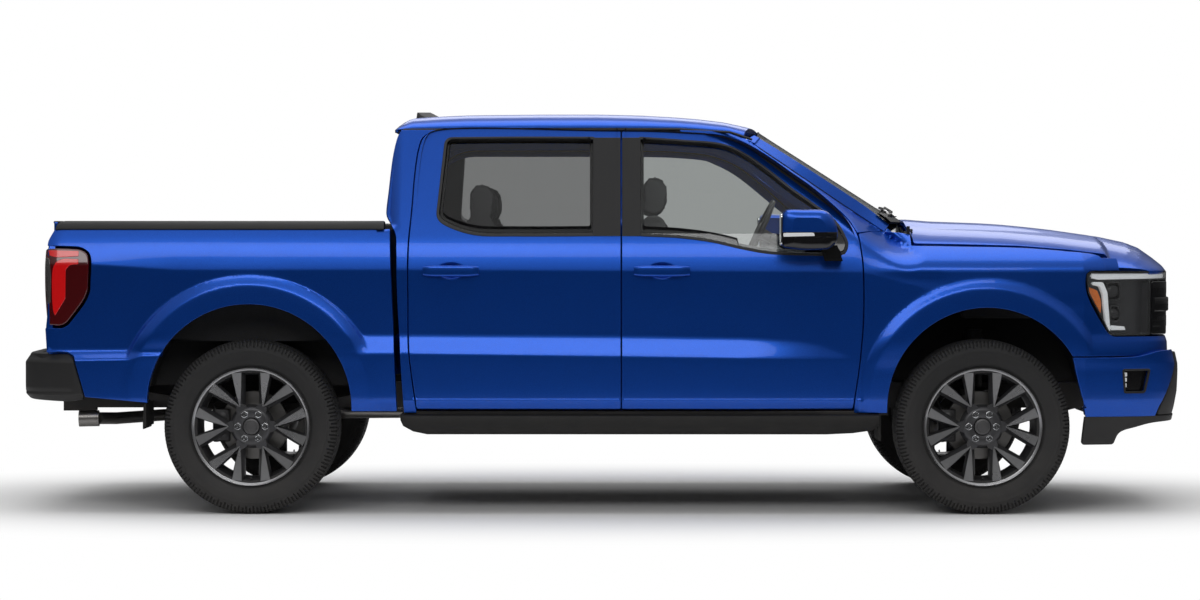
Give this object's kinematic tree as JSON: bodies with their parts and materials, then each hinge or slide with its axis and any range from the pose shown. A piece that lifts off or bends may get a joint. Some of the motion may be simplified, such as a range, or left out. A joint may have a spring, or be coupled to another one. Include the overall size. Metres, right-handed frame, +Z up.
{
  "type": "crew-cab pickup truck",
  "caption": "Crew-cab pickup truck with a short open cargo bed, opening doors, hood and tailgate, steered front wheels and turning wheels.",
  "frame": {"origin": "on the ground under the middle of the truck's length and width", "axes": "+X forward, +Y to the left, +Z up"},
  "size_m": [5.855, 2.4, 2.03],
  "materials": {
    "body_paint": "metallic blue under clear coat",
    "black_trim": "satin black, fine grain",
    "chassis_black": "satin black paint",
    "clear_glass": "clear tint",
    "dark_glass": "privacy tint",
    "lamp_glass": "clear polished lens",
    "tail_lens": "polished red lens",
    "wheel_alloy": "machined face with dark grey pockets",
    "tyre_rubber": "matt rubber",
    "cast_metal": "bare cast",
    "exhaust_steel": "polished steel",
    "seat_leather": "fine grain with seams",
    "cabin_plastic": "moulded grain"
  },
  "bodies": {
    "chassis": {"frame_rails": "chassis_black", "crossmembers": "chassis_black", "cab_sides": "body_paint", "cab_floor": "body_paint", "cab_back": "body_paint", "roof": "body_paint", "cab_glass": "clear_glass", "fenders": "body_paint", "bed_box": "body_paint", "bedsides": "body_paint", "bed_rail_caps": "black_trim", "front_bumper": "body_paint", "front_valance": "black_trim", "grille": "black_trim", "headlamps": "lamp_glass", "taillamps": "tail_lens", "rear_bumper": "black_trim", "running_boards": "black_trim", "wheel_liners": "black_trim", "engine_block": "cast_metal", "exhaust": "exhaust_steel", "fuel_tank": "black_trim", "rear_axle": "chassis_black", "suspension": "chassis_black", "seats": "seat_leather", "dashboard": "cabin_plastic"},
    "hood": {"hood": "body_paint"},
    "tailgate": {"tailgate": "body_paint"},
    "door_front_left": {"door_front_left": "body_paint", "glass_front_left": "clear_glass", "mirror_left": "body_paint"},
    "door_front_right": {"door_front_right": "body_paint", "glass_front_right": "clear_glass", "mirror_right": "body_paint"},
    "door_rear_left": {"door_rear_left": "body_paint", "glass_rear_left": "dark_glass"},
    "door_rear_right": {"door_rear_right": "body_paint", "glass_rear_right": "dark_glass"},
    "knuckle_left": {"knuckle_left": "cast_metal"},
    "knuckle_right": {"knuckle_right": "cast_metal"},
    "wheel_front_left": {"rim_front_left": "wheel_alloy", "tyre_front_left": "tyre_rubber"},
    "wheel_front_right": {"rim_front_right": "wheel_alloy", "tyre_front_right": "tyre_rubber"},
    "wheel_rear_left": {"rim_rear_left": "wheel_alloy", "tyre_rear_left": "tyre_rubber"},
    "wheel_rear_right": {"rim_rear_right": "wheel_alloy", "tyre_rear_right": "tyre_rubber"}
  },
  "joints": [
    {"name": "steer_left", "type": "hinge", "parent": "chassis", "child": "knuckle_left", "pos_m": [1.8575, 0.755, 0.432], "axis": [0, 0, 1], "range_deg": [-30, 30]},
    {"name": "steer_right", "type": "hinge", "parent": "chassis", "child": "knuckle_right", "pos_m": [1.8575, -0.755, 0.432], "axis": [0, 0, 1], "range_deg": [-30, 30]},
    {"name": "wheel_front_left_spin", "type": "hinge", "parent": "knuckle_left", "child": "wheel_front_left", "pos_m": [1.8575, 0.855, 0.432], "axis": [0, 1, 0], "continuous": true},
    {"name": "wheel_front_right_spin", "type": "hinge", "parent": "knuckle_right", "child": "wheel_front_right", "pos_m": [1.8575, -0.855, 0.432], "axis": [0, 1, 0], "continuous": true},
    {"name": "wheel_rear_left_spin", "type": "hinge", "parent": "chassis", "child": "wheel_rear_left", "pos_m": [-1.7625, 0.855, 0.432], "axis": [0, 1, 0], "continuous": true},
    {"name": "wheel_rear_right_spin", "type": "hinge", "parent": "chassis", "child": "wheel_rear_right", "pos_m": [-1.7625, -0.855, 0.432], "axis": [0, 1, 0], "continuous": true},
    {"name": "door_front_left_hinge", "type": "hinge", "parent": "chassis", "child": "door_front_left", "pos_m": [1.2655, 1.009, 1], "axis": [0, 0, -1], "range_deg": [0, 65]},
    {"name": "door_front_right_hinge", "type": "hinge", "parent": "chassis", "child": "door_front_right", "pos_m": [1.2655, -1.009, 1], "axis": [0, 0, 1], "range_deg": [0, 65]},
    {"name": "door_rear_left_hinge", "type": "hinge", "parent": "chassis", "child": "door_rear_left", "pos_m": [0.0705, 1.009, 1], "axis": [0, 0, -1], "range_deg": [0, 65]},
    {"name": "door_rear_right_hinge", "type": "hinge", "parent": "chassis", "child": "door_rear_right", "pos_m": [0.0705, -1.009, 1], "axis": [0, 0, 1], "range_deg": [0, 65]},
    {"name": "hood_hinge", "type": "hinge", "parent": "chassis", "child": "hood", "pos_m": [1.5155, 0, 1.462], "axis": [0, -1, 0], "range_deg": [0, 50]},
    {"name": "tailgate_hinge", "type": "hinge", "parent": "chassis", "child": "tailgate", "pos_m": [-2.7345, 0, 0.868], "axis": [0, -1, 0], "range_deg": [0, 90]}
  ],
  "couplings": [
    {"joint": "steer_right", "follows": "steer_left", "ratio": 1}
  ]
}
